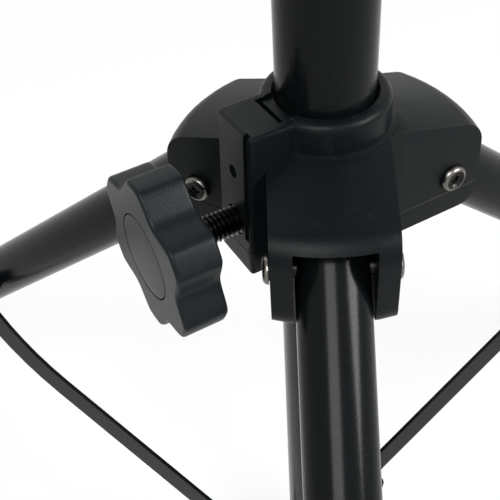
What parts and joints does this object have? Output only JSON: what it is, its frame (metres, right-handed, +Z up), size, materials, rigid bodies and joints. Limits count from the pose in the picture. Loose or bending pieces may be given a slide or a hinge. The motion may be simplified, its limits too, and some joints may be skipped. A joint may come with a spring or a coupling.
{
  "type": "orchestral music stand",
  "caption": "Folding tripod music stand with a sliding hub, flat braces, a telescopic mast and a tilting, perforated desk with a ledge.",
  "frame": {"origin": "middle of the footprint's bounding box, on the floor", "axes": "+Z up along the mast, -Y to the front leg and to the player, +X to the player's right"},
  "size_m": [0.5194, 0.4529, 0.983],
  "materials": {
    "black_powder_coat": "satin powder coat",
    "black_nylon": "fine matt",
    "black_rubber": "matt",
    "dark_nickel": "dark plated",
    "zinc_plate": "zinc plated"
  },
  "bodies": {
    "stand": {"main_tube": "black_powder_coat", "tube_plug": "black_nylon", "lower_hub": "black_nylon", "lock_screw": "dark_nickel", "height_clamp": "black_nylon", "height_insert": "zinc_plate", "hub_rivet_front": "dark_nickel", "hub_rivet_right": "dark_nickel", "hub_rivet_left": "dark_nickel"},
    "hub": {"tripod_hub": "black_nylon", "base_insert": "zinc_plate", "pivot_bolt_front": "dark_nickel", "pivot_bolt_right": "dark_nickel", "pivot_bolt_left": "dark_nickel", "pivot_barrel_front": "dark_nickel", "pivot_barrel_right": "dark_nickel", "pivot_barrel_left": "dark_nickel"},
    "base_pad": {"base_shoe": "black_nylon"},
    "base_grip": {"base_stud": "dark_nickel", "base_knob": "black_nylon", "base_knob_cap": "black_nylon"},
    "height_pad": {"height_shoe": "black_nylon"},
    "height_grip": {"height_stud": "dark_nickel", "height_knob": "black_nylon", "height_knob_cap": "black_nylon"},
    "carriage": {"slide_bush": "black_nylon"},
    "mast": {"upper_tube": "black_powder_coat", "tilt_base": "black_nylon"},
    "desk": {"desk_bracket": "black_powder_coat", "tilt_bolt": "dark_nickel", "desk_panel": "black_powder_coat", "desk_ledge": "black_powder_coat", "bracket_rivet_1": "dark_nickel", "bracket_rivet_2": "dark_nickel", "bracket_rivet_3": "dark_nickel", "bracket_rivet_4": "dark_nickel", "ledge_rivet_1": "dark_nickel", "ledge_rivet_2": "dark_nickel", "ledge_rivet_3": "dark_nickel"},
    "tilt_pad": {"tilt_washer": "zinc_plate"},
    "tilt_grip": {"tilt_knob": "black_nylon", "tilt_knob_cap": "black_nylon"},
    "leg_front_unit": {"leg_front": "black_powder_coat", "foot_front": "black_rubber", "leg_rivet_front": "dark_nickel", "brace_spacer_front": "black_nylon"},
    "brace_front_link": {"brace_front": "black_powder_coat"},
    "leg_right_unit": {"leg_right": "black_powder_coat", "foot_right": "black_rubber", "leg_rivet_right": "dark_nickel", "brace_spacer_right": "black_nylon"},
    "brace_right_link": {"brace_right": "black_powder_coat"},
    "leg_left_unit": {"leg_left": "black_powder_coat", "foot_left": "black_rubber", "leg_rivet_left": "dark_nickel", "brace_spacer_left": "black_nylon"},
    "brace_left_link": {"brace_left": "black_powder_coat"}
  },
  "joints": [
    {"name": "brace_front_fold", "type": "hinge", "parent": "stand", "child": "brace_front_link", "pos_m": [0, 0.04053, 0.03887], "axis": [-1, 0, 0], "range_deg": [0, 48]},
    {"name": "leg_front_fold", "type": "hinge", "parent": "brace_front_link", "child": "leg_front_unit", "pos_m": [0, -0.07066, 0.13349], "axis": [1, 0, 0], "range_deg": [0, 96]},
    {"name": "hub_rise", "type": "hinge", "parent": "leg_front_unit", "child": "hub", "pos_m": [0, 0.04053, 0.22812], "axis": [-1, 0, 0], "range_deg": [0, 48]},
    {"name": "leg_right_fold", "type": "hinge", "parent": "hub", "child": "leg_right_unit", "pos_m": [0.02685, 0.08703, 0.22812], "axis": [-0.5, 0.866, 0], "range_deg": [0, 48]},
    {"name": "brace_right_fold", "type": "hinge", "parent": "stand", "child": "brace_right_link", "pos_m": [0.02685, 0.08703, 0.03887], "axis": [0.5, -0.866, 0], "range_deg": [0, 48]},
    {"name": "leg_left_fold", "type": "hinge", "parent": "hub", "child": "leg_left_unit", "pos_m": [-0.02685, 0.08703, 0.22812], "axis": [-0.5, -0.866, 0], "range_deg": [0, 48]},
    {"name": "brace_left_fold", "type": "hinge", "parent": "stand", "child": "brace_left_link", "pos_m": [-0.02685, 0.08703, 0.03887], "axis": [0.5, 0.866, 0], "range_deg": [0, 48]},
    {"name": "base_knob_turn", "type": "hinge", "parent": "base_pad", "child": "base_grip", "pos_m": [-0.0226, 0.05848, 0.23], "axis": [-0.866, -0.5, 0], "range_deg": [0, 420]},
    {"name": "base_shoe_press", "type": "slide", "parent": "hub", "child": "base_pad", "axis": [-0.866, -0.5, 0], "range_m": [0, 0.00147]},
    {"name": "height_knob_turn", "type": "hinge", "parent": "height_pad", "child": "height_grip", "pos_m": [0, 0.09763, 0.56087], "axis": [0, 1, 0], "range_deg": [0, 420]},
    {"name": "height_shoe_press", "type": "slide", "parent": "stand", "child": "height_pad", "axis": [0, 1, 0], "range_m": [0, 0.00147]},
    {"name": "mast_height", "type": "slide", "parent": "stand", "child": "carriage", "axis": [0, 0, 1], "range_m": [-0.185, 0.17]},
    {"name": "mast_swivel", "type": "hinge", "parent": "carriage", "child": "mast", "pos_m": [0, 0.07153, 0.29487], "axis": [0, 0, 1], "continuous": true},
    {"name": "desk_tilt", "type": "hinge", "parent": "mast", "child": "desk", "pos_m": [0, 0.07153, 0.81987], "axis": [-1, 0, 0], "range_deg": [-20, 60]},
    {"name": "tilt_knob_turn", "type": "hinge", "parent": "tilt_pad", "child": "tilt_grip", "pos_m": [0.0092, 0.07153, 0.81987], "axis": [1, 0, 0], "range_deg": [0, 300]},
    {"name": "tilt_washer_release", "type": "slide", "parent": "desk", "child": "tilt_pad", "axis": [1, 0, 0], "range_m": [0, 0.0009]}
  ],
  "couplings": [
    {"joint": "leg_front_fold", "follows": "brace_front_fold", "ratio": 2},
    {"joint": "hub_rise", "follows": "brace_front_fold", "ratio": 1},
    {"joint": "leg_right_fold", "follows": "brace_front_fold", "ratio": 1},
    {"joint": "brace_right_fold", "follows": "brace_front_fold", "ratio": 1},
    {"joint": "leg_left_fold", "follows": "brace_front_fold", "ratio": 1},
    {"joint": "brace_left_fold", "follows": "brace_front_fold", "ratio": 1},
    {"joint": "base_shoe_press", "follows": "base_knob_turn", "m_per_rad": 0.00019894},
    {"joint": "height_shoe_press", "follows": "height_knob_turn", "m_per_rad": 0.00019894},
    {"joint": "tilt_washer_release", "follows": "tilt_knob_turn", "m_per_rad": 0.00015915}
  ]
}
